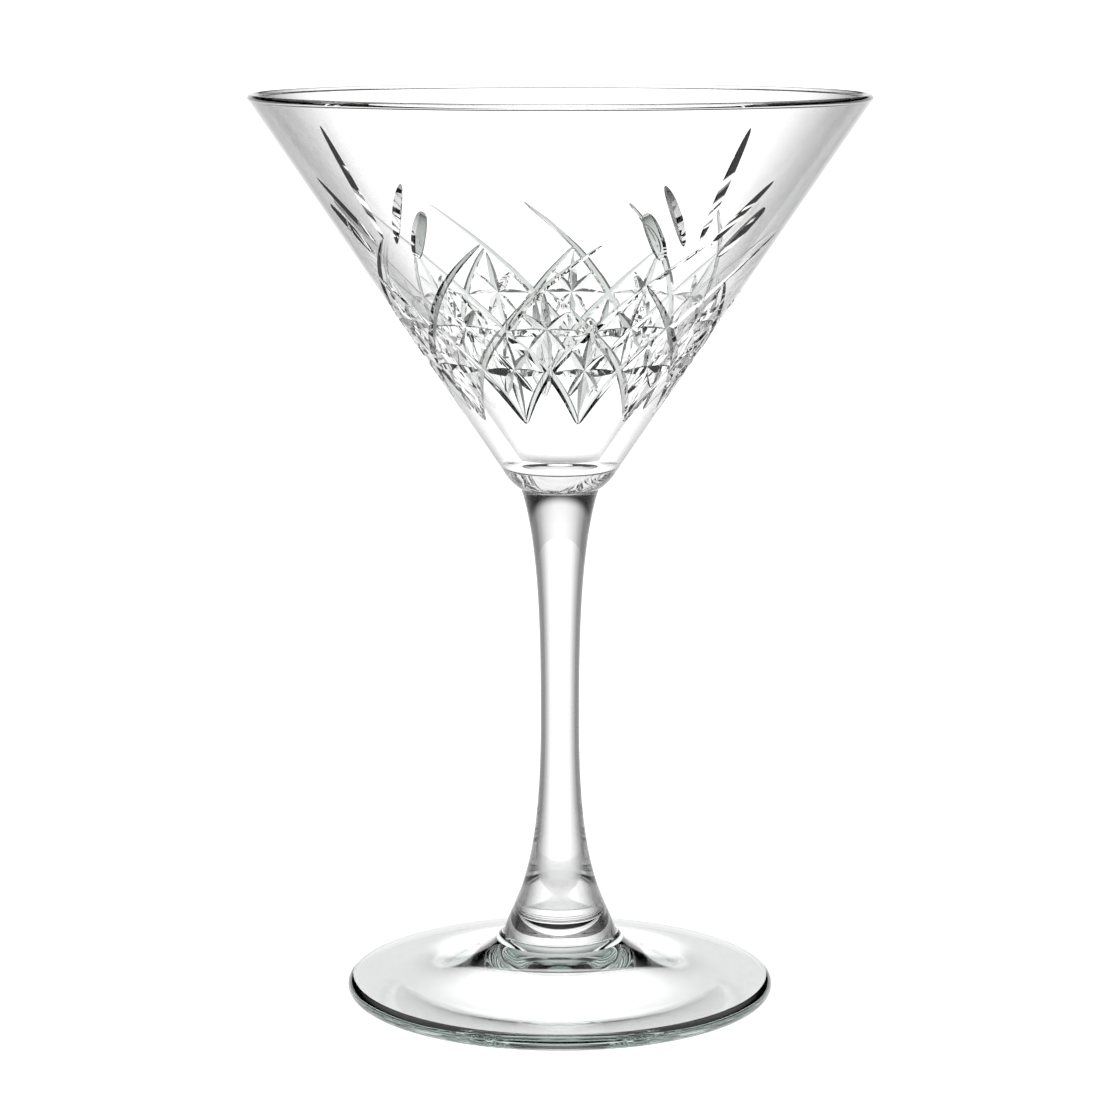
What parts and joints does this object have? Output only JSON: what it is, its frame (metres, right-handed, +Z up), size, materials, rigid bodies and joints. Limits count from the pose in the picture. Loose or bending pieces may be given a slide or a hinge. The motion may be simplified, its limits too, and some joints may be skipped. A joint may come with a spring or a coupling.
{
  "type": "martini glass",
  "caption": "Stemmed cocktail glass in clear pressed glass: a wide conical bowl on a slim flared stem and a round foot.",
  "frame": {"origin": "centre of the foot's resting ring, on the surface the glass stands on", "axes": "+Z up along the axis of revolution, towards the rim; +X and +Y are free, because the solids are round, and -Y faces the viewer of the cut pattern"},
  "size_m": [0.116, 0.116, 0.172],
  "materials": {
    "bowl_glass": "clear, fire-polished, with cut grooves",
    "stem_glass": "clear, fire-polished",
    "foot_glass": "clear, fire-polished"
  },
  "bodies": {
    "root": {"bowl": "bowl_glass", "stem": "stem_glass", "foot": "foot_glass"}
  },
  "joints": []
}
